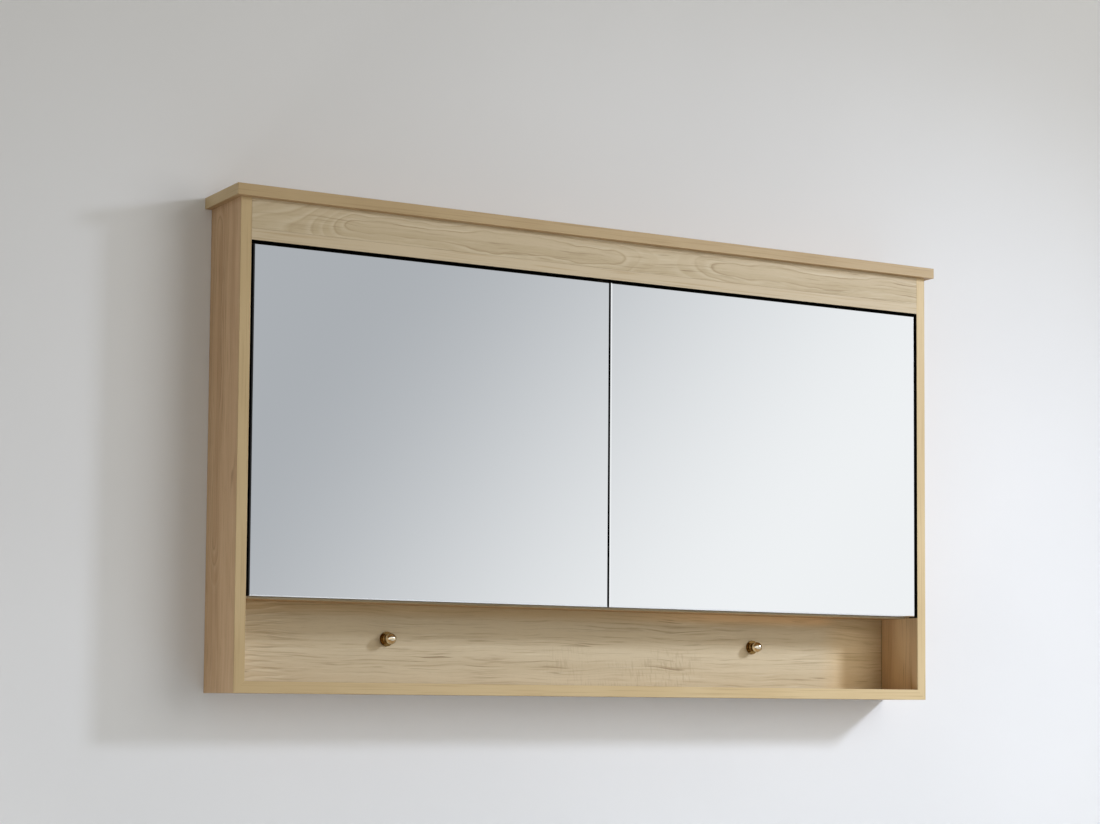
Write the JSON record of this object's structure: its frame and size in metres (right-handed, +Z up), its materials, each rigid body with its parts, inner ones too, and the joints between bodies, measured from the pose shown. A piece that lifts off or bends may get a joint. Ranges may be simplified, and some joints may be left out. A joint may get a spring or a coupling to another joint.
{
  "type": "bathroom mirror cabinet",
  "caption": "Wall-hung oak mirror cabinet with hinged mirror doors, glass shelves behind them, an open niche with brass ball hooks and an overhanging cornice board.",
  "frame": {"origin": "on the wall plane, in the middle of the four wall-screw holes", "axes": "+X to the right seen from the front, +Y into the wall, +Z up"},
  "size_m": [1.2, 0.12, 0.692],
  "materials": {
    "oak_upright": "oak laminate, grain upright, satin",
    "oak_level": "oak laminate, grain level, satin",
    "oak_edge": "oak edge band, satin",
    "rail_board": "plain board, raw",
    "dowel_wood": "raw beech",
    "door_white": "white laminate, satin",
    "mirror_pane": "silvered glass, polished edge",
    "shelf_glass": "clear float glass, polished edge",
    "bumper_rubber": "soft, translucent",
    "nickel": "nickel-plated steel, satin",
    "screw_steel": "zinc-plated steel",
    "hook_brass": "polished brass"
  },
  "bodies": {
    "cabinet": {"back_panel": "oak_upright", "bottom_board": "oak_level", "carcass_dowels": "dowel_wood", "centre_divider": "oak_upright", "compartment_top": "oak_level", "cornice_bands": "oak_edge", "cornice_board": "oak_level", "edge_band_bottom": "oak_edge", "edge_band_left": "oak_edge", "edge_band_right": "oak_edge", "edge_band_top": "oak_edge", "frieze_board": "oak_level", "glass_shelf_left_lower": "shelf_glass", "glass_shelf_left_upper": "shelf_glass", "glass_shelf_right_lower": "shelf_glass", "glass_shelf_right_upper": "shelf_glass", "hanging_rail_lower": "rail_board", "hanging_rail_upper": "rail_board", "hinge_arm_screws_left": "screw_steel", "hinge_arm_screws_right": "screw_steel", "hinge_arms_left": "nickel", "hinge_arms_right": "nickel", "hinge_plate_screws_left": "screw_steel", "hinge_plate_screws_right": "screw_steel", "hinge_plates_left": "nickel", "hinge_plates_right": "nickel", "hook_left": "hook_brass", "hook_right": "hook_brass", "hook_screws": "screw_steel", "niche_back": "oak_level", "niche_shelf": "oak_level", "shelf_pegs": "nickel", "side_left": "oak_upright", "side_right": "oak_upright"},
    "door_left": {"door_board_left": "door_white", "mirror_left": "mirror_pane", "door_bumpers_left": "bumper_rubber", "hinge_cups_left": "nickel", "hinge_pins_left": "screw_steel", "hinge_cup_screws_left": "screw_steel"},
    "door_right": {"door_board_right": "door_white", "mirror_right": "mirror_pane", "door_bumpers_right": "bumper_rubber", "hinge_cups_right": "nickel", "hinge_pins_right": "screw_steel", "hinge_cup_screws_right": "screw_steel"}
  },
  "joints": [
    {"name": "door_left_hinge", "type": "hinge", "parent": "cabinet", "child": "door_left", "pos_m": [-0.554, -0.096, 0], "axis": [0, 0, -1], "range_deg": [0, 105]},
    {"name": "door_right_hinge", "type": "hinge", "parent": "cabinet", "child": "door_right", "pos_m": [0.554, -0.096, 0], "axis": [0, 0, 1], "range_deg": [0, 105]}
  ]
}
